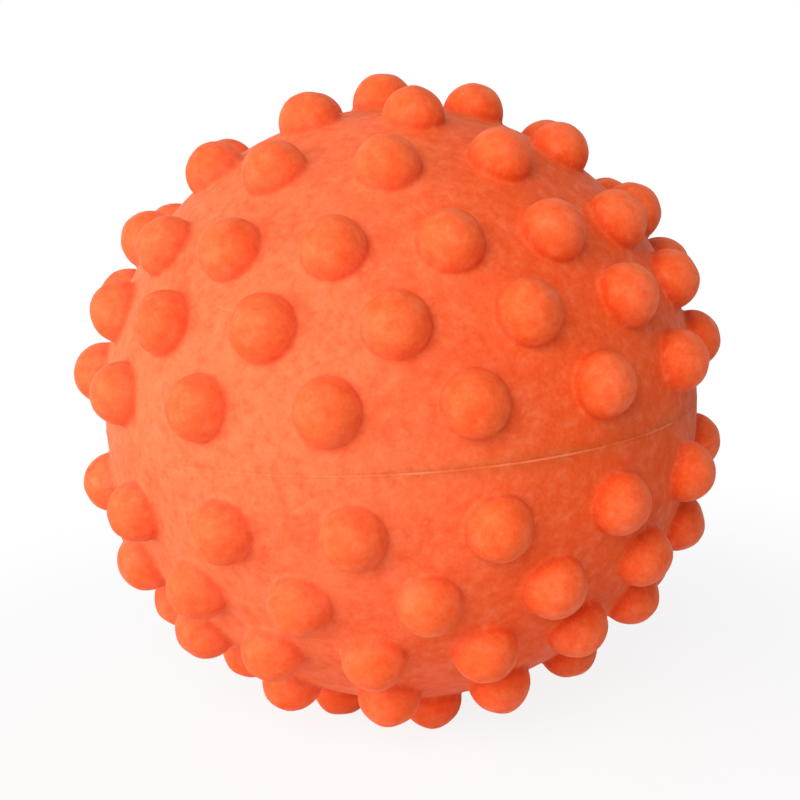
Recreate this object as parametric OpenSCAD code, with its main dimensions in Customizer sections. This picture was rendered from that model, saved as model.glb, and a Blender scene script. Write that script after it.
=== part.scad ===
// Massage ball: two moulded rubber halves covered in round knobs, cemented
// together round the middle, with a needle valve in the pole of the lower half.
// The origin is the ball's centre and +Z runs through the poles.

/* [Ball] */
// Diameter of the ball between its knobs
ball_d = 80; // [70:1:100]
// Thickness of the rubber wall
wall_t = 3.5; // [2.5:0.1:4.5]
// How far the lower half is turned out of step with the upper one, in degrees
lower_turn = -9; // [-36:0.5:36]

/* [Knobs] */
// Diameter of a knob's round head
knob_d = 8; // [6:0.1:9]
// How far the centre of a knob's head stands outside the wall
knob_lift = 0.3; // [0:0.05:1]
// Radius of the fillet round the foot of a knob
foot_r = 0.5; // [0.4:0.1:1.2]
// Depth to which a knob's root is moulded into the wall
root_depth = 1.5; // [1:0.1:2]
// Latitude of each row of knobs on a half, from the seam to the pole
row_lat = [10.4, 23.9, 37.5, 55, 73]; // [8:0.1:80]
// Number of knobs in each row
row_count = [15, 15, 15, 10, 5]; // [3:1:15]
// Angle round the axis of the first knob in each row
row_turn = [-6, 6, -6, 18, 0]; // [-36:0.5:36]

/* [Seam] */
// Thickness of the cement between the two halves
seam_t = 0.3; // [0.2:0.05:0.6]
// How far the cement stands proud of the outside
seam_proud = 0.1; // [0.05:0.05:0.3]
// Radius of the bead of cement squeezed out inside the ball
bead_r = 0.8; // [0.5:0.1:1.5]

/* [Valve] */
// Diameter of the valve housing's neck, in the wall
neck_d = 9; // [8:0.1:11]
// Diameter of the flange bonded inside the wall
flange_d = 18; // [15:0.5:20]
// Thickness of that flange
flange_t = 1.6; // [1.2:0.1:2.5]
// Depth of the flat land moulded for the flange, below the ball's surface
land_depth = 4.8; // [4.6:0.1:6]
// Width of the land beyond the flange
land_margin = 1; // [0.5:0.1:2]
// Depth of the housing, from its face to its inner end
housing_depth = 14; // [12:0.5:18]
// Wall of the housing's tube inside the ball
tube_t = 2; // [1.5:0.1:3]
// Thickness of the housing's inner end, round its air hole
end_t = 1.2; // [0.8:0.1:2]
// Diameter of the air hole in that inner end
air_hole_d = 2.4; // [1.5:0.1:4]
// Diameter of the valve core
core_d = 6; // [5:0.1:7]
// How far the locking rib stands out from the core
rib_h = 0.6; // [0.3:0.1:0.8]
// Width of the locking rib
rib_w = 1.5; // [1:0.1:2]
// Depth of the rib's outer edge, below the core's face
rib_depth = 6; // [5:0.1:7]
// Depth of the core's face, below the rim of the housing
core_sink = 0.3; // [0.1:0.1:0.6]
// Diameter of the bore that grips a pump needle
needle_d = 2; // [1.6:0.1:2.6]
// Length of that bore
needle_bore = 5; // [4:0.1:6]
// Diameter of the funnel that guides the needle in
funnel_d = 3.4; // [3:0.1:4]
// Depth of that funnel
funnel_depth = 0.8; // [0.5:0.1:1.2]
// Gap left all round where one round piece seats in another
seat_gap = 0.02; // [0.01:0.01:0.05]

/* [Hidden] */
$fn = 48;
rubber = [0.94, 0.42, 0.22];
cement = [0.97, 0.60, 0.42];
valve_rubber = [0.80, 0.34, 0.18];
ball_r = ball_d / 2;
inner_r = ball_r - wall_t;
// Facets of a circle as large as the ball, where the model is meshed
ball_fn = 120;
// How far a cut runs past the surface that it opens
overrun = 1;

// A knob is drawn on a line out of the ball's centre: x is the distance from
// that line and y the distance from the centre.
head_r = knob_d / 2;
head_y = ball_r + knob_lift;
// The foot's fillet dips into the wall by this share of its radius, and bites
// this far into the head, so that the surfaces cross
foot_dip = 0.04;
foot_bite = 0.002;
foot_centre_r = ball_r + foot_r * (1 - foot_dip);
foot_reach = head_r + foot_r - foot_bite;
foot_y = (pow(foot_centre_r, 2) - pow(foot_reach, 2) + pow(head_y, 2)) / (2 * head_y);
foot_x = sqrt(pow(foot_centre_r, 2) - pow(foot_y, 2));
foot_centre = [foot_x, foot_y];
head_centre = [0, head_y];
root_scale = (ball_r - root_depth) / foot_centre_r;
root_y = foot_y * root_scale;

// The cement's bead starts where it meets the inside of both halves
bead_x = sqrt(pow(inner_r, 2) - pow(bead_r, 2));

// The valve is drawn the same way, with y as the distance from the centre.
neck_r = neck_d / 2;
face_y = sqrt(pow(ball_r, 2) - pow(neck_r, 2));
land_y = ball_r - land_depth;
flange_y = land_y - flange_t;
housing_y = face_y - housing_depth;
pocket_r = core_d / 2 + seat_gap;
core_y = face_y - core_sink;
core_end_y = housing_y + end_t + seat_gap;
rib_y = core_y - rib_depth;

// Half of a circle's outline on the right of the axis
module half_disc(r) {
    intersection() {
        circle(r);
        translate([0, -r]) square([r, 2 * r]);
    }
}

// Round head, fillet at the foot and root of one knob, as half of its section
module knob_section() {
    intersection() {
        translate(head_centre) half_disc(head_r);
        translate([0, root_y]) square(2 * head_r);
    }
    difference() {
        polygon([head_centre, foot_centre, foot_centre * root_scale, [0, root_y]]);
        translate(foot_centre) circle(foot_r);
    }
}

module knob() {
    rotate_extrude() knob_section();
}

// Every knob on one half except the one at its pole
module knob_rows() {
    for (row = [0 : len(row_lat) - 1])
        for (k = [0 : row_count[row] - 1])
            rotate([0, 90 - row_lat[row], row_turn[row] + 360 * k / row_count[row]])
                knob();
}

// The hollow wall of one half, which ends at the cement
module half_wall() {
    rotate_extrude() intersection() {
        difference() {
            circle(ball_r, $fn = ball_fn);
            circle(inner_r, $fn = ball_fn);
        }
        translate([0, seam_t / 2]) square(ball_r);
    }
}

// Flat land inside the wall that the valve's flange is bonded to
module valve_land() {
    rotate_extrude() intersection() {
        translate([0, land_y]) square([flange_d / 2 + land_margin, wall_t]);
        circle(ball_r - wall_t / 2, $fn = ball_fn);
    }
}

module upper_half_shell() {
    color(rubber) {
        half_wall();
        knob_rows();
        knob();
    }
}

// The same moulding turned over, with the valve in place of the pole's knob
module lower_half_shell() {
    color(rubber)
        rotate([180, 0, 0]) rotate([0, 0, -lower_turn])
            difference() {
                union() {
                    half_wall();
                    knob_rows();
                    valve_land();
                }
                cylinder(h = 2 * ball_r, r = neck_r + seat_gap);
            }
}

// Cement in the joint, proud outside and squeezed into a bead inside
module seam_cement_ring() {
    color(cement) rotate_extrude() {
        intersection() {
            translate([bead_x, 0]) circle(bead_r);
            translate([bead_x - bead_r, -bead_r]) square([bead_r, 2 * bead_r]);
        }
        translate([bead_x, -seam_t / 2]) square([ball_r + seam_proud - bead_x, seam_t]);
    }
}

// Flanged bush, with a pocket that holds the core by its rib
module valve_housing() {
    tube_r = pocket_r + tube_t;
    rib_bottom = rib_y - rib_w - seat_gap;
    color(valve_rubber) rotate([180, 0, 0]) rotate_extrude() difference() {
        polygon([
            [0, face_y], [neck_r, face_y], [neck_r, land_y], [flange_d / 2, land_y],
            [flange_d / 2, flange_y], [tube_r, flange_y], [tube_r, housing_y], [0, housing_y]
        ]);
        translate([0, housing_y + end_t]) square([pocket_r, housing_depth]);
        translate([0, rib_bottom]) square([pocket_r + rib_h, rib_w + 2 * seat_gap]);
        translate([0, housing_y - overrun]) square([air_hole_d / 2, end_t + 2 * overrun]);
    }
}

// Soft plug: a funnel and a bore for the needle, closed behind by its own rubber
module valve_core() {
    funnel_y = core_y - funnel_depth;
    color(valve_rubber) rotate([180, 0, 0]) rotate_extrude() difference() {
        union() {
            translate([0, core_end_y]) square([core_d / 2, core_y - core_end_y]);
            translate([0, rib_y - rib_w]) square([core_d / 2 + rib_h, rib_w]);
        }
        translate([0, funnel_y - needle_bore]) square([needle_d / 2, needle_bore + core_sink]);
        polygon([[0, funnel_y], [needle_d / 2, funnel_y], [funnel_d / 2, core_y], [0, core_y]]);
    }
}

upper_half_shell();
lower_half_shell();
seam_cement_ring();
valve_housing();
valve_core();
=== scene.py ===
import math
from functools import cached_property

import bmesh
import bpy
import numpy as np
from mathutils import Matrix, Vector, noise


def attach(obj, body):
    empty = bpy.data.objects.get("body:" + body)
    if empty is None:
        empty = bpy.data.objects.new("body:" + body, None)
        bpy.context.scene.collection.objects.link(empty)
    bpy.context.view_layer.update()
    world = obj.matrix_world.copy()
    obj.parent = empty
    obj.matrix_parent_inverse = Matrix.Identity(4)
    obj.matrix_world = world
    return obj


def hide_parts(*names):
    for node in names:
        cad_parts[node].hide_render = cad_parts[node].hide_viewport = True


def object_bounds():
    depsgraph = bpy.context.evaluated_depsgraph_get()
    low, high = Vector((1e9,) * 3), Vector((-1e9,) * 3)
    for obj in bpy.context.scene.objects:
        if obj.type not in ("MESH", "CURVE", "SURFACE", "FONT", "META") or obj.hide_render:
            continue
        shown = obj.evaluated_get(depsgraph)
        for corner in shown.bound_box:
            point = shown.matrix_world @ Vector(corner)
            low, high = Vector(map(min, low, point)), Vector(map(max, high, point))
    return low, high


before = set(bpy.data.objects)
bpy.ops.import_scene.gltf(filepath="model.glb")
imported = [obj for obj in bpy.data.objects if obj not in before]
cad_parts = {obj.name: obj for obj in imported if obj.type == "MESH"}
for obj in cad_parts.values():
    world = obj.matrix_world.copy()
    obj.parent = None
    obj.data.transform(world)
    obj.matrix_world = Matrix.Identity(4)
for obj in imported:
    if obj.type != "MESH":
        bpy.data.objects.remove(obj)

cad_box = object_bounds()


# Camera. It looks at the ball from a little above the seam, close enough for
# the near knobs to look larger, and leans so that the seam rises to the right.
BALL_RADIUS = 0.040
FRAME_SIDE = 800
OUTLINE_RADIUS = 295.9
OUTLINE_CENTRE = (401.0, 402.7)
CAMERA_HEIGHT = math.radians(11.5)
CAMERA_LEAN = math.radians(-3.35)
CAMERA_DISTANCE = 0.200
SENSOR_WIDTH = 36.0
NEAREST_SEEN = 0.005

focal_pixels = OUTLINE_RADIUS * math.sqrt((CAMERA_DISTANCE / BALL_RADIUS) ** 2 - 1)
camera_data = bpy.data.cameras.new("camera")
camera_data.sensor_width = SENSOR_WIDTH
camera_data.lens = focal_pixels * SENSOR_WIDTH / FRAME_SIDE
camera_data.shift_x = (FRAME_SIDE / 2 - OUTLINE_CENTRE[0]) / FRAME_SIDE
camera_data.shift_y = (OUTLINE_CENTRE[1] - FRAME_SIDE / 2) / FRAME_SIDE
camera_data.clip_start = NEAREST_SEEN
camera = bpy.data.objects.new("camera", camera_data)
bpy.context.scene.collection.objects.link(camera)
camera_aim = Matrix.Rotation(math.pi / 2 - CAMERA_HEIGHT, 4, "X")
camera_stand = camera_aim @ Vector((0, 0, CAMERA_DISTANCE))
camera.matrix_world = (
    Matrix.Translation(camera_stand) @ camera_aim @ Matrix.Rotation(CAMERA_LEAN, 4, "Z")
)
bpy.context.scene.camera = camera


# Half shells. Each is compression-moulded natural rubber with its knobs in one
# piece. Both come from one mould: the lower one is turned over, and has the
# valve's hole where the upper one has the knob on its pole.
WALL = 0.0035
SEAM = 0.0003
LIP = 0.00003
HEAD_RADIUS = 0.0040
HEAD_LIFT = 0.0003
FOOT_RADIUS = 0.0005
KNOB_ROWS = ((10.4, 15, -6), (23.9, 15, 6), (37.5, 15, -6), (55, 10, 18), (73, 5, 0))
LOWER_TURN = -9
VALVE_HOLE = 0.00452
VALVE_LAND = 0.0352
MOUTH_ROUNDING = 3.5 * LIP

WALL_DIVISIONS = 7
LINING_DIVISIONS = 5
LIP_CUTS = (LIP / 3, LIP, 4 * LIP)
FINE_REACH = 1.08
SAME_PLACE = 1e-7
NEVER_ZERO = 1e-9
CREASE = math.radians(50)

KNOB_SWELL = 0.010
KNOB_LEAN = 0.012
WALL_LUMPS = 140
WALL_WOBBLE = 0.00006
KNOB_LUMPS = 420
KNOB_WOBBLE = 0.00018
STEADY_RIM = 8 * LIP

head_centre = BALL_RADIUS + HEAD_LIFT
foot_centre = BALL_RADIUS + FOOT_RADIUS
foot_reach = HEAD_RADIUS + FOOT_RADIUS
foot_height = (foot_centre**2 - foot_reach**2 + head_centre**2) / (2 * head_centre)
foot_offset = math.sqrt(foot_centre**2 - foot_height**2)
foot_angle = math.atan2(foot_offset, foot_height)
head_sweep = math.atan2(foot_offset, foot_height - head_centre)
head_arc = HEAD_RADIUS * head_sweep
knob_arc = head_arc + FOOT_RADIUS * (head_sweep - foot_angle)
# How fast the profile is walked at the tip, so that it slows to the wall's own
# spacing at the edge of the foot
tip_pace = (3 - BALL_RADIUS * foot_angle / knob_arc) / 2


def knob_profile(share):
    """Offset from the knob's axis and distance from the ball's centre, at a share of
    the way from its tip down its round head and out along the fillet at its foot."""
    along = knob_arc * (tip_pace * share + (1 - tip_pace) * share**3)
    head = along / HEAD_RADIUS
    foot = head_sweep - (along - head_arc) / FOOT_RADIUS
    on_head = along < head_arc
    out = np.where(
        on_head,
        HEAD_RADIUS * np.sin(head),
        foot_offset - FOOT_RADIUS * np.sin(foot),
    )
    up = np.where(
        on_head,
        head_centre + HEAD_RADIUS * np.cos(head),
        foot_height - FOOT_RADIUS * np.cos(foot),
    )
    return out, up


def knob_axes(pole_knob):
    """Directions of the knobs on one half, as it lies in the mould."""
    axes = [(0, 0, 1)] if pole_knob else []
    for latitude, count, turn in KNOB_ROWS:
        rise = math.radians(latitude)
        for k in range(count):
            around = math.radians(turn + 360 * k / count)
            axes.append(
                (
                    math.cos(rise) * math.cos(around),
                    math.cos(rise) * math.sin(around),
                    math.sin(rise),
                )
            )
    return np.array(axes)


def is_outside(vertex):
    """Whether a vertex is on the outer face of the wall and not on its lining."""
    return vertex.co.length > BALL_RADIUS - WALL / 2


def put_on_ring(vertices, radius, height):
    """Moves vertices straight out or in, and up or down, on to a level ring."""
    for vertex in vertices:
        flat = Vector((vertex.co.x, vertex.co.y)).normalized() * radius
        vertex.co = (flat.x, flat.y, height)


def open_pole(form, face, radius, sphere_radius):
    """Opens a round hole in the pole of one face of the wall, and returns its rim."""
    over = [v for v in face if v.co.z > 0 and math.hypot(v.co.x, v.co.y) < radius]
    bmesh.ops.delete(form, geom=over, context="VERTS")
    height = math.sqrt(sphere_radius**2 - radius**2)
    rim = [
        edge
        for edge in form.edges
        if edge.is_boundary and all(end.co.z > height / 2 for end in edge.verts)
        and all(abs(end.co.length - sphere_radius) < WALL / 4 for end in edge.verts)
    ]
    put_on_ring({end for edge in rim for end in edge.verts}, radius, height)
    return rim


def step_in(form, rim, radius, height):
    """Carries a round rim on to another radius and height."""
    made = bmesh.ops.extrude_edge_only(form, edges=rim)["geom"]
    put_on_ring([item for item in made if isinstance(item, bmesh.types.BMVert)], radius, height)
    return [item for item in made if isinstance(item, bmesh.types.BMEdge) and item.is_boundary]


def finished_piece(name, form, crease):
    """An object from a bmesh, shaded smooth but for edges sharper than the crease."""
    for face in form.faces:
        face.smooth = True
    mesh = bpy.data.meshes.new(name)
    form.to_mesh(mesh)
    form.free()
    mesh.set_sharp_from_angle(angle=crease)
    piece = bpy.data.objects.new(name, mesh)
    bpy.context.scene.collection.objects.link(piece)
    return piece


def moulded_half(name, upper, seed):
    """One half with its knobs, cut at the seam, hollow, and open for the valve."""
    form = bmesh.new()
    bmesh.ops.create_icosphere(form, subdivisions=WALL_DIVISIONS, radius=BALL_RADIUS)
    bmesh.ops.bisect_plane(
        form, geom=form.verts[:] + form.edges[:] + form.faces[:], dist=SAME_PLACE,
        plane_co=(0, 0, SEAM / 2), plane_no=(0, 0, 1), clear_inner=True,
    )
    for height in LIP_CUTS:
        bmesh.ops.bisect_plane(
            form, geom=form.verts[:] + form.edges[:] + form.faces[:], dist=SAME_PLACE,
            plane_co=(0, 0, SEAM / 2 + height), plane_no=(0, 0, 1),
        )

    # The mesh is made twice as fine where the knobs will rise
    axes = knob_axes(upper)
    near = math.cos(foot_angle * FINE_REACH)
    chosen = {v for v in form.verts if (axes @ np.array(v.co.normalized())).max() > near}
    fine = [edge for edge in form.edges if edge.verts[0] in chosen and edge.verts[1] in chosen]
    bmesh.ops.subdivide_edges(form, edges=fine, cuts=1, use_grid_fill=True)

    # Each point belongs to the knob whose axis is nearest
    points = np.array([vertex.co for vertex in form.verts])
    points /= np.linalg.norm(points, axis=1)[:, None]
    nearness = points @ axes.T
    owner = nearness.argmax(axis=1)
    angle = np.arccos(np.clip(nearness.max(axis=1), -1, 1))
    axis = axes[owner]
    aside = points - axis * np.cos(angle)[:, None]
    aside /= np.maximum(np.linalg.norm(aside, axis=1), NEVER_ZERO)[:, None]
    knobbed = angle < foot_angle
    out, up = knob_profile(np.minimum(angle / foot_angle, 1))

    # No two knobs come out of the mould quite alike in size and lean
    draw = np.random.default_rng(seed)
    swell = 1 + draw.normal(0, KNOB_SWELL, len(axes))
    lean = draw.normal(0, KNOB_LEAN, (len(axes), 3))
    height = np.clip((up - BALL_RADIUS) / HEAD_RADIUS, 0, None)
    up = BALL_RADIUS + (up - BALL_RADIUS) * swell[owner]
    moved = axis * up[:, None] + aside * (out * swell[owner])[:, None]
    moved += lean[owner] * (height**2 * HEAD_RADIUS)[:, None]
    lip = np.clip(1 - (points[:, 2] * BALL_RADIUS - SEAM / 2) / LIP, 0, 1)
    plain = points * (BALL_RADIUS - LIP * (1 - np.sqrt(1 - lip**2)))[:, None]
    placed = np.where(knobbed[:, None], moved, plain)
    tall = np.where(knobbed, np.clip(height, 0, 1), 0)

    # The skin wanders a little, more on the heads and not at all at the rim
    for vertex, spot, rise in zip(form.verts, placed, tall):
        spot = Vector(spot)
        sway = noise.noise(spot * WALL_LUMPS + Vector((seed, 0, 0))) * WALL_WOBBLE
        sway += noise.noise(spot * KNOB_LUMPS + Vector((0, seed, 0))) * KNOB_WOBBLE * rise
        vertex.co = spot + spot.normalized() * sway * min(1, spot.z / STEADY_RIM)

    inner_radius = BALL_RADIUS - WALL
    lining = bmesh.ops.create_icosphere(
        form, subdivisions=LINING_DIVISIONS, radius=inner_radius
    )["verts"]
    faces = {face for vertex in lining for face in vertex.link_faces}
    edges = {edge for vertex in lining for edge in vertex.link_edges}
    bmesh.ops.bisect_plane(
        form, geom=lining + list(edges) + list(faces), dist=SAME_PLACE,
        plane_co=(0, 0, SEAM / 2), plane_no=(0, 0, 1), clear_inner=True,
    )
    lining = [f for f in form.faces if f.calc_center_median().length < BALL_RADIUS - WALL / 2]
    bmesh.ops.reverse_faces(form, faces=lining)
    bmesh.ops.bridge_loops(form, edges=[edge for edge in form.edges if edge.is_boundary])

    if not upper:
        inside = [vertex for vertex in form.verts if not is_outside(vertex)]
        land_reach = math.sqrt(inner_radius**2 - VALVE_LAND**2)
        land = open_pole(form, inside, land_reach, inner_radius)
        outside = [vertex for vertex in form.verts if is_outside(vertex)]
        mouth = open_pole(form, outside, VALVE_HOLE + LIP, BALL_RADIUS)
        mouth = step_in(form, mouth, VALVE_HOLE, BALL_RADIUS - MOUTH_ROUNDING)
        mouth = step_in(form, mouth, VALVE_HOLE, VALVE_LAND)
        bmesh.ops.bridge_loops(form, edges=mouth + land)
        turned_over = Matrix.Rotation(math.pi, 4, "X")
        turned_over @= Matrix.Rotation(math.radians(-LOWER_TURN), 4, "Z")
        bmesh.ops.transform(form, matrix=turned_over, verts=form.verts)
    bmesh.ops.recalc_face_normals(form, faces=form.faces)
    return finished_piece(name, form, CREASE)


class Flow:
    """A shader socket that sums and products can be written with."""

    def __init__(self, tree, socket):
        self.tree = tree
        self.socket = socket

    def joined(self, operation, first, second):
        node = self.tree.nodes.new("ShaderNodeMath")
        node.operation = operation
        for place, value in zip(node.inputs, (first, second)):
            if isinstance(value, Flow):
                self.tree.links.new(value.socket, place)
            else:
                place.default_value = value
        return Flow(self.tree, node.outputs[0])

    def __add__(self, other):
        return self.joined("ADD", self, other)

    def __radd__(self, other):
        return self.joined("ADD", other, self)

    def __sub__(self, other):
        return self.joined("SUBTRACT", self, other)

    def __rsub__(self, other):
        return self.joined("SUBTRACT", other, self)

    def __mul__(self, other):
        return self.joined("MULTIPLY", self, other)

    def __rmul__(self, other):
        return self.joined("MULTIPLY", other, self)


class Finish:
    """A material or backdrop being mixed, and the one way to add a node to it."""

    # A Mix node's sockets for its factor and its two colours, and for its result
    MIX_SHARE, MIX_UNDER, MIX_OVER, MIX_COLOUR = 0, 6, 7, 2

    def __init__(self, owner, shader="Principled BSDF"):
        owner.use_nodes = True
        self.owner = owner
        self.tree = owner.node_tree
        self.shader = self.tree.nodes[shader]

    def feed(self, socket, value):
        if isinstance(value, Flow):
            self.tree.links.new(value.socket, socket)
        else:
            socket.default_value = value

    def node(self, kind, inputs=None, output=0, **settings):
        made = self.tree.nodes.new(kind)
        for setting, value in settings.items():
            setattr(made, setting, value)
        for socket, value in (inputs or {}).items():
            self.feed(made.inputs[socket], value)
        return Flow(self.tree, made.outputs[output])

    @cached_property
    def place(self):
        return self.node("ShaderNodeTexCoord", output="Object")

    def length(self, vector):
        return self.node("ShaderNodeVectorMath", {0: vector}, output="Value", operation="LENGTH")

    def cloud(self, size, detail=2.0, roughness=0.5):
        """Soft noise whose lumps are about this size."""
        return self.node(
            "ShaderNodeTexNoise",
            {
                "Vector": self.place,
                "Scale": 1 / size,
                "Detail": detail,
                "Roughness": roughness,
            },
        )

    def window(self, value, low, high):
        """0 at low, 1 at high and smooth between, with either end the larger."""
        return self.node(
            "ShaderNodeMapRange",
            {"Value": value, "From Min": low, "From Max": high},
            interpolation_type="SMOOTHSTEP",
        )

    def tint(self, share, under, over):
        return self.node(
            "ShaderNodeMix",
            {self.MIX_SHARE: share, self.MIX_UNDER: under, self.MIX_OVER: over},
            output=self.MIX_COLOUR,
            data_type="RGBA",
        )

    def layered(self, colour, *layers):
        """Tints a colour by layers, each a pattern, its strength and its colour."""
        for pattern, strength, over in layers:
            colour = self.tint(pattern * strength, colour, over)
        return colour

    def bent_place(self, size, distance):
        """The place, pushed about so that patterns on it curve."""
        push = self.node(
            "ShaderNodeTexNoise", {"Vector": self.place, "Scale": 1 / size}, output="Color"
        )
        push = self.node("ShaderNodeVectorMath", {0: push, "Scale": distance}, operation="SCALE")
        return self.node("ShaderNodeVectorMath", {0: self.place, 1: push}, operation="ADD")

    def done(self, **values):
        """Feeds the shader's sockets, named with _ for each space."""
        for socket, value in values.items():
            self.feed(self.shader.inputs[socket.replace("_", " ")], value)
        return self.owner


BODY_COLOUR = (0.89, 0.104, 0.0158, 1)
KNOB_COLOUR = (0.89, 0.113, 0.0152, 1)
# The deep tone serves the rubber's blotches and also painted shade; the bloom serves its pale
# patches, scuffs and specks and also painted light and sheen
DEEP_AND_PAINTED_SHADE_COLOUR = (0.76, 0.050, 0.0042, 1)
BLOOM_AND_PAINTED_LIGHT_COLOUR = (0.95, 0.230, 0.110, 1)
SHEEN_COLOUR = (1.0, 0.75, 0.35, 1)
SHEEN = 0.42
ROUGHNESS = 0.66
KNOB_POLISH = 0.06
RELIEF_STRENGTH = 0.40
RELIEF_DEPTH = 0.00030
LIGHT_SOAKED = 0.6
LIGHT_REACH = (1.0, 0.12, 0.04)
LIGHT_DEPTH = 0.003

# Each pattern's size, detail and roughness
BLOTCHES = (0.013, 3.0, 0.55)
PATCHES = (0.0040, 4.0, 0.60)
MOTTLE = (0.0015, 2.0, 0.60)
GRAIN = (0.0004, 2.0, 0.70)
PEEL_SIZE = 0.0017

# Scuffs and specks come in groups, where a soft noise passes these levels. They
# fade over these distances from their middles, in shares of their own spacing.
SCUFFS_PER_METRE = 48.0
SCUFF_BEND = (0.017, 0.010)
SCUFF_WIDTH = (0.012, 0.004)
SCUFF_GROUPS = (0.009, 1.0)
SCUFF_LEVELS = (0.63, 0.70)
SPECKS_PER_METRE = 400.0
SPECK_WIDTH = (0.16, 0.06)
SPECK_GROUPS = (0.007, 1.0)
SPECK_LEVELS = (0.60, 0.68)

# Heights over the wall at which a tone starts and is full: the knobs' own tone, the
# painted shade in the crease round each knob's foot and the painted light on the tips;
# and how much less of the painted side shade and sheen a knob's head holds than the wall
KNOB_TONE = (0.0006, 0.0030)
FOOT_PAINTED_SHADE_COMES = (0.00005, 0.0003)
FOOT_PAINTED_SHADE_GOES = (0.0014, 0.0006)
TIP_PAINTED_LIGHT = (0.0015, 0.0036)
KNOB_LESS_PAINTED = 0.60

# The side towards the key lamp, and the levels across the ball towards it at which
# the far side's painted shade, the near side's painted sheen and the painted light
# on the far side's knob tips start and are full
PAINTED_LIGHT_SIDE = (-0.88, -0.46, 0.12)
PAINTED_SHADE_LEVELS = (0.70, 0.05)
PAINTED_SHEEN_LEVELS = (0.45, 1.00)
PAINTED_TIP_LIGHT_LEVELS = (0.72, 0.38)


def rubber_skin(name, cement=0.0):
    """Satin rubber: blotched and grained, with scuffs and specks. On the wall among the
    knobs it has a painted sheen on the side towards the key lamp and painted shade on the
    far side; the crease round each knob's foot has painted shade, and the knob tips on the
    far side have painted light. Cement is how much of the seam's pale line shows through."""
    finish = Finish(bpy.data.materials.new(name))
    reach = finish.length(finish.place)

    def over_wall(low, high):
        return finish.window(reach, BALL_RADIUS + low, BALL_RADIUS + high)

    knob = over_wall(*KNOB_TONE)
    # Painted shade: darkens the crease round each knob's foot
    foot = over_wall(*FOOT_PAINTED_SHADE_COMES) * over_wall(*FOOT_PAINTED_SHADE_GOES)
    blotches = finish.cloud(*BLOTCHES)
    patches = finish.cloud(*PATCHES)
    mottle = finish.cloud(*MOTTLE)
    grain = finish.cloud(*GRAIN)
    peel = finish.cloud(PEEL_SIZE)
    # Painted light and shade: 1 on the side towards the key lamp, 0 on the far side
    toward_painted_light = finish.node(
        "ShaderNodeVectorMath",
        {0: finish.place, 1: PAINTED_LIGHT_SIDE},
        output="Value",
        operation="DOT_PRODUCT",
    )
    toward_painted_light = finish.window(toward_painted_light, -BALL_RADIUS, BALL_RADIUS)

    cracks = finish.node(
        "ShaderNodeTexVoronoi",
        {"Vector": finish.bent_place(*SCUFF_BEND), "Scale": SCUFFS_PER_METRE},
        feature="DISTANCE_TO_EDGE",
    )
    scuffs = finish.window(cracks, *SCUFF_WIDTH) * (1 - knob)
    scuffs = scuffs * finish.window(finish.cloud(*SCUFF_GROUPS), *SCUFF_LEVELS)
    dust = finish.node(
        "ShaderNodeTexVoronoi", {"Vector": finish.place, "Scale": SPECKS_PER_METRE}
    )
    specks = finish.window(dust, *SPECK_WIDTH)
    specks = specks * finish.window(finish.cloud(*SPECK_GROUPS), *SPECK_LEVELS)

    # Painted side shade and sheen: knob heads keep less of them than the wall
    painted_side_share = 1 - knob * KNOB_LESS_PAINTED
    # Painted light: knob tips on the side away from the key lamp are paler
    painted_tip_light = over_wall(*TIP_PAINTED_LIGHT) * finish.window(toward_painted_light, *PAINTED_TIP_LIGHT_LEVELS)
    # Painted shade at the knobs' feet and on the far side, painted sheen on the near side and
    # painted light on the far tips come first, then the rubber's own random tones
    colour = finish.layered(
        finish.tint(knob, BODY_COLOUR, KNOB_COLOUR),
        (foot, 0.70, DEEP_AND_PAINTED_SHADE_COLOUR),
        (finish.window(toward_painted_light, *PAINTED_SHADE_LEVELS) * painted_side_share, 0.16, DEEP_AND_PAINTED_SHADE_COLOUR),
        (finish.window(toward_painted_light, *PAINTED_SHEEN_LEVELS) * painted_side_share, 0.45, BLOOM_AND_PAINTED_LIGHT_COLOUR),
        (painted_tip_light, 0.26, BLOOM_AND_PAINTED_LIGHT_COLOUR),
        (finish.window(blotches, 0.48, 0.72), 0.22, DEEP_AND_PAINTED_SHADE_COLOUR),
        (finish.window(patches, 0.50, 0.76), 0.22, DEEP_AND_PAINTED_SHADE_COLOUR),
        (finish.window(patches, 0.50, 0.24), 0.24, BLOOM_AND_PAINTED_LIGHT_COLOUR),
        (finish.window(mottle, 0.48, 0.74), 0.38, DEEP_AND_PAINTED_SHADE_COLOUR),
        (finish.window(mottle, 0.52, 0.26), 0.34, BLOOM_AND_PAINTED_LIGHT_COLOUR),
        (finish.window(grain, 0.48, 0.74), 0.26, DEEP_AND_PAINTED_SHADE_COLOUR),
        (finish.window(grain, 0.52, 0.26), 0.20, BLOOM_AND_PAINTED_LIGHT_COLOUR),
    )
    colour = finish.tint(scuffs * 0.40 + specks * 0.45, colour, BLOOM_AND_PAINTED_LIGHT_COLOUR)
    if cement:
        colour = finish.layered(colour, (seam_wear(finish), cement, CEMENT_COLOUR))

    relief = blotches * 0.4 + peel * 0.4 + mottle * 0.20 + grain * 0.08 + scuffs * 0.2
    roughness = ROUGHNESS - knob * KNOB_POLISH
    return finish.done(
        Base_Color=colour,
        Roughness=roughness + (patches - 0.5) * 0.20 + (mottle - 0.5) * 0.15,
        Normal=finish.node(
            "ShaderNodeBump",
            {"Height": relief, "Strength": RELIEF_STRENGTH, "Distance": RELIEF_DEPTH},
        ),
        Specular_IOR_Level=SHEEN,
        Specular_Tint=SHEEN_COLOUR,
        Subsurface_Weight=0.0 if cement else LIGHT_SOAKED,
        Subsurface_Radius=LIGHT_REACH,
        Subsurface_Scale=LIGHT_DEPTH,
    )


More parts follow.
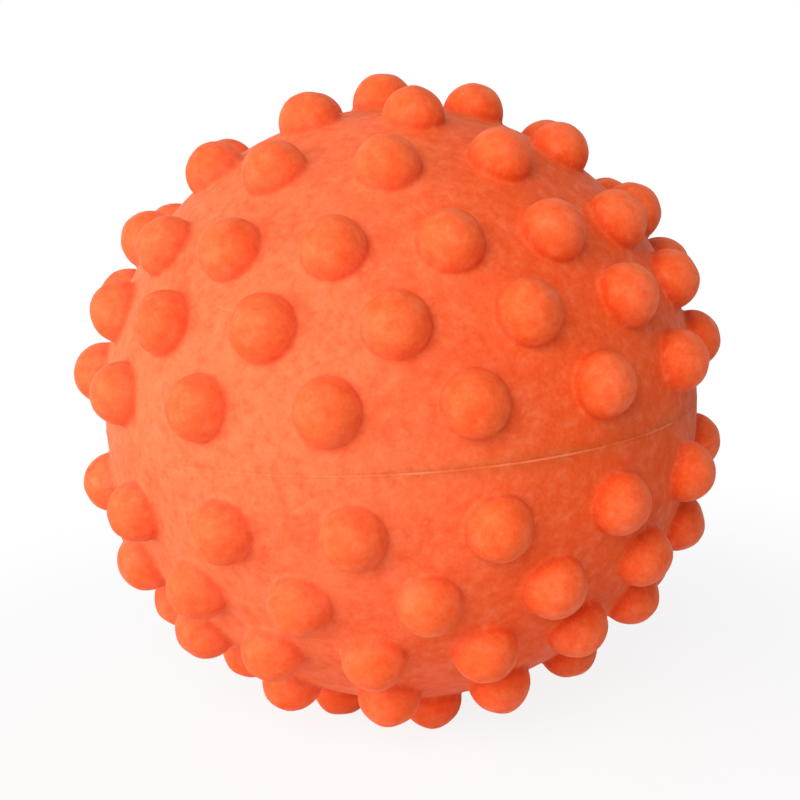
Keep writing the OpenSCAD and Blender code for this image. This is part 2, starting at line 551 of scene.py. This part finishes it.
shell_finish = rubber_skin("moulded_rubber")
for half, upper, seed in (("upper_half_shell", True, 3), ("lower_half_shell", False, 8)):
    shell = moulded_half(half + "_rubber", upper, seed)
    shell.data.materials.append(shell_finish)
    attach(shell, "root")
    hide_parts(half)


# Seam cement. Rubber cement joins the halves edge to edge. It is squeezed into a
# bead inside and buffed flush outside, where it shows as a pale line in places.
BEAD_RADIUS = 0.0008
BEAD_STEPS = 12
CEMENT_PROUD = 0.00005
CEMENT_LUMPS = 160
CEMENT_STEPS = 360
CEMENT_COLOUR = (0.98, 0.250, 0.110, 1)
CEMENT_SHOWS = 0.5
SEAM_SHOWS = ((-91.5, -84), (-77, -54), (-45, -33), (18, 47), (88, 121), (162, 171))
SEAM_FADES = math.radians(3.0)
SEAM_BREAKS = (0.0035, 2.0)
SEAM_BREAK_LEVELS = (0.40, 0.60)
SEAM_FAINTEST = 0.45
ROUNDED_FROM = math.radians(30)
ROUNDING_STEPS = 3
TURNED_CREASE = math.radians(40)


def seam_wear(finish):
    """How much of the cement shows, in the stretches that the buffing has laid bare."""
    east, north = (
        finish.node("ShaderNodeSeparateXYZ", {0: finish.place}, output=side) for side in "XY"
    )
    around = finish.node("ShaderNodeMath", {0: north, 1: east}, operation="ARCTAN2")
    bare = 0.0
    for stretch in SEAM_SHOWS:
        start, end = map(math.radians, stretch)
        comes = finish.window(around, start, start + SEAM_FADES)
        bare = comes * finish.window(around, end, end - SEAM_FADES) + bare
    whole = finish.window(finish.cloud(*SEAM_BREAKS), *SEAM_BREAK_LEVELS)
    return bare * (SEAM_FAINTEST + (1 - SEAM_FAINTEST) * whole)


def turned(name, outline, steps, rounding=0.0):
    """A piece turned round the ball's axis from its section, with its edges rounded."""
    form = bmesh.new()
    corners = [form.verts.new((x, 0, z)) for x, z in outline]
    sides = [form.edges.new(ends) for ends in zip(corners, corners[1:])]
    if outline[0][0] > 0:
        sides.append(form.edges.new((corners[-1], corners[0])))
    bmesh.ops.spin(
        form, geom=corners + sides, cent=(0, 0, 0), axis=(0, 0, 1), angle=2 * math.pi,
        steps=steps, use_merge=True,
    )
    bmesh.ops.remove_doubles(form, verts=form.verts, dist=SAME_PLACE)
    bmesh.ops.recalc_face_normals(form, faces=form.faces)
    if rounding:
        sharp = [edge for edge in form.edges if edge.calc_face_angle() > ROUNDED_FROM]
        bmesh.ops.bevel(
            form, geom=sharp, offset=rounding, segments=ROUNDING_STEPS, profile=0.5,
            affect="EDGES", material=-1,
        )
    return finished_piece(name, form, TURNED_CREASE)


bead_reach = math.sqrt((BALL_RADIUS - WALL) ** 2 - BEAD_RADIUS**2)
bead_turn = [math.radians(90 + 180 * k / BEAD_STEPS) for k in range(BEAD_STEPS + 1)]
cement_outline = [
    (bead_reach + BEAD_RADIUS * math.cos(a), BEAD_RADIUS * math.sin(a)) for a in bead_turn
]
cement_outline += [
    (bead_reach, -SEAM / 2),
    (BALL_RADIUS - LIP, -SEAM / 2),
    (BALL_RADIUS, -SEAM / 3),
    (BALL_RADIUS + LIP / 4, 0),
    (BALL_RADIUS, SEAM / 3),
    (BALL_RADIUS - LIP, SEAM / 2),
    (bead_reach, SEAM / 2),
]
cement = turned("seam_cement_line", cement_outline, CEMENT_STEPS)
for vertex in cement.data.vertices:
    if vertex.co.xy.length > BALL_RADIUS - LIP / 2:
        swell = max(0.0, 0.5 + noise.noise(vertex.co * CEMENT_LUMPS))
        vertex.co.xy *= 1 + CEMENT_PROUD * min(1.0, swell) / BALL_RADIUS
cement.data.materials.append(rubber_skin("seam_cement", cement=CEMENT_SHOWS))
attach(cement, "root")
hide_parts("seam_cement_ring")


# Valve. A flanged bush of firmer rubber is bonded inside the lower pole, and holds
# a soft core by its rib. A pump needle goes in by the funnel in the core's face.
NECK_RADIUS = 0.0045
FLANGE_RADIUS = 0.0090
FLANGE = 0.0016
HOUSING_DEPTH = 0.0140
TUBE_RADIUS = 0.00502
END_WALL = 0.0012
AIR_HOLE = 0.0012
CORE_RADIUS = 0.0030
CORE_SINK = 0.0003
SEAT_GAP = 0.00002
RIB_RADIUS = 0.0036
RIB_DEPTH = 0.0060
RIB = 0.0015
FUNNEL_RADIUS = 0.0017
FUNNEL_DEPTH = 0.0008
NEEDLE_RADIUS = 0.0010
NEEDLE_BORE = 0.0050
VALVE_STEPS = 96
VALVE_EDGE = 0.00015
VALVE_COLOUR = (0.62, 0.095, 0.028, 1)
CORE_COLOUR = (0.50, 0.070, 0.022, 1)
VALVE_DARK = (0.30, 0.035, 0.012, 1)
VALVE_MOTTLE = (0.0014, 4.0, 0.6)
VALVE_PORES = (0.0003, 2.0)
ACROSS_ONLY = (1, 1, 0)
RING_WAVES = 21000
RING_STRENGTH = 0.35
RING_DEPTH = 0.0001
VALVE_ROUGHNESS = 0.46
VALVE_SHEEN = 0.40

valve_face = math.sqrt(BALL_RADIUS**2 - NECK_RADIUS**2)
housing_end = valve_face - HOUSING_DEPTH
core_face = valve_face - CORE_SINK
rib_top = core_face - RIB_DEPTH
pocket = CORE_RADIUS + SEAT_GAP
pocket_end = housing_end + END_WALL
rib_pocket = RIB_RADIUS + SEAT_GAP
funnel_end = core_face - FUNNEL_DEPTH

housing_outline = (
    (AIR_HOLE, housing_end),
    (TUBE_RADIUS, housing_end),
    (TUBE_RADIUS, VALVE_LAND - FLANGE),
    (FLANGE_RADIUS, VALVE_LAND - FLANGE),
    (FLANGE_RADIUS, VALVE_LAND),
    (NECK_RADIUS, VALVE_LAND),
    (NECK_RADIUS, valve_face),
    (pocket, valve_face),
    (pocket, rib_top + SEAT_GAP),
    (rib_pocket, rib_top + SEAT_GAP),
    (rib_pocket, rib_top - RIB - SEAT_GAP),
    (pocket, rib_top - RIB - SEAT_GAP),
    (pocket, pocket_end),
    (AIR_HOLE, pocket_end),
)
core_outline = (
    (0, pocket_end + SEAT_GAP),
    (CORE_RADIUS, pocket_end + SEAT_GAP),
    (CORE_RADIUS, rib_top - RIB),
    (RIB_RADIUS, rib_top - RIB),
    (RIB_RADIUS, rib_top),
    (CORE_RADIUS, rib_top),
    (CORE_RADIUS, core_face),
    (FUNNEL_RADIUS, core_face),
    (NEEDLE_RADIUS, funnel_end),
    (NEEDLE_RADIUS, funnel_end - NEEDLE_BORE),
    (0, funnel_end - NEEDLE_BORE),
)


def valve_skin(name, colour):
    """Smooth firm rubber with faint rings from the turned mould, dull in its pores."""
    finish = Finish(bpy.data.materials.new(name))
    across = finish.node(
        "ShaderNodeVectorMath", {0: finish.place, 1: ACROSS_ONLY}, operation="MULTIPLY"
    )
    across = finish.length(across)
    rings = finish.node("ShaderNodeMath", {0: across * RING_WAVES}, operation="SINE")
    mottle = finish.cloud(*VALVE_MOTTLE)
    pores = finish.window(finish.cloud(*VALVE_PORES), 0.55, 0.75)
    tone = finish.layered(
        colour,
        (finish.window(mottle, 0.45, 0.75), 0.5, VALVE_DARK),
        (pores, 0.35, VALVE_DARK),
        (finish.window(rings, 0.2, 1.0), 0.12, BLOOM_AND_PAINTED_LIGHT_COLOUR),
    )
    relief = rings * 0.25 + mottle - pores * 0.4
    return finish.done(
        Base_Color=tone,
        Roughness=VALVE_ROUGHNESS + (mottle - 0.5) * 0.30 + pores * 0.15,
        Normal=finish.node(
            "ShaderNodeBump",
            {"Height": relief, "Strength": RING_STRENGTH, "Distance": RING_DEPTH},
        ),
        Specular_IOR_Level=VALVE_SHEEN,
    )


for piece_name, node_name, outline, slot, colour in (
    ("valve_housing_bush", "valve_housing", housing_outline, "valve_rubber", VALVE_COLOUR),
    ("valve_core_plug", "valve_core", core_outline, "valve_core_rubber", CORE_COLOUR),
):
    part = turned(piece_name, outline, VALVE_STEPS, VALVE_EDGE)
    part.data.transform(Matrix.Rotation(math.pi, 4, "X"))
    part.data.materials.append(valve_skin(slot, colour))
    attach(part, "root")
    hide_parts(node_name)


# Floor and light. The ball stands on a flat pale sheet, under a soft lamp low on
# the left, a weaker one in front and above, and weak light from all round.
FLOOR_HEIGHT = cad_box[0][2]
FLOOR_REACH = 2.0
FLOOR_COLOUR = (0.9, 0.9, 0.9, 1)
FLOOR_ROUGHNESS = 0.9
WHITE = (1, 1, 1, 1)
SHADE_SEEN = 0.14
SHADE_EDGE = (0.06, 0.14)
LIGHT_ALL_ROUND = 0.26


def straight_view(finish):
    """1 where the camera looks, also by a reflection or through clear stuff, else 0."""
    camera_ray, glossy_ray, clear_ray = (
        finish.node("ShaderNodeLightPath", output=kind)
        for kind in ("Is Camera Ray", "Is Glossy Ray", "Is Transmission Ray")
    )
    seen = finish.node("ShaderNodeMath", {0: camera_ray, 1: glossy_ray}, operation="MAXIMUM")
    return finish.node("ShaderNodeMath", {0: clear_ray, 1: seen}, operation="MAXIMUM")


floor_form = bmesh.new()
bmesh.ops.create_grid(floor_form, x_segments=1, y_segments=1, size=FLOOR_REACH)
bmesh.ops.translate(floor_form, vec=(0, 0, FLOOR_HEIGHT), verts=floor_form.verts)
floor_mesh = bpy.data.meshes.new("floor")
floor_form.to_mesh(floor_mesh)
floor_form.free()
floor = bpy.data.objects.new("floor", floor_mesh)
bpy.context.scene.collection.objects.link(floor)

sheet = Finish(bpy.data.materials.new("pale_floor"))
floor_mesh.materials.append(
    sheet.done(Base_Color=FLOOR_COLOUR, Roughness=FLOOR_ROUGHNESS, Specular_IOR_Level=0.0)
)
far = sheet.window(sheet.length(sheet.place), *SHADE_EDGE)
whitened = straight_view(sheet) * (1 - SHADE_SEEN + SHADE_SEEN * far)
lit = Flow(sheet.tree, sheet.shader.outputs[0])
glow = sheet.node("ShaderNodeEmission", {"Color": WHITE, "Strength": 1.0})
shown = sheet.node("ShaderNodeMixShader", {0: whitened, 1: lit, 2: glow})
sheet.feed(sheet.tree.nodes["Material Output"].inputs["Surface"], shown)

studio = Finish(bpy.data.worlds.new("studio"), shader="Background")
level = studio.node(
    "ShaderNodeMapRange",
    {"Value": straight_view(studio), "To Min": LIGHT_ALL_ROUND, "To Max": 1.0},
)
bpy.context.scene.world = studio.done(Color=WHITE, Strength=level)


def lamp(name, away, size, power):
    """A square soft lamp that faces the ball."""
    data = bpy.data.lights.new(name, "AREA")
    data.size = size
    data.energy = power
    made = bpy.data.objects.new(name, data)
    bpy.context.scene.collection.objects.link(made)
    made.location = away
    made.rotation_euler = Vector(away).to_track_quat("Z", "Y").to_euler()


lamp("key_lamp", away=(-0.77, -0.28, 0.06), size=0.70, power=6)
lamp("front_lamp", away=(-0.21, -0.66, 0.43), size=0.50, power=5)

bpy.context.scene.view_settings.view_transform = "Standard"

bpy.context.view_layer.update()
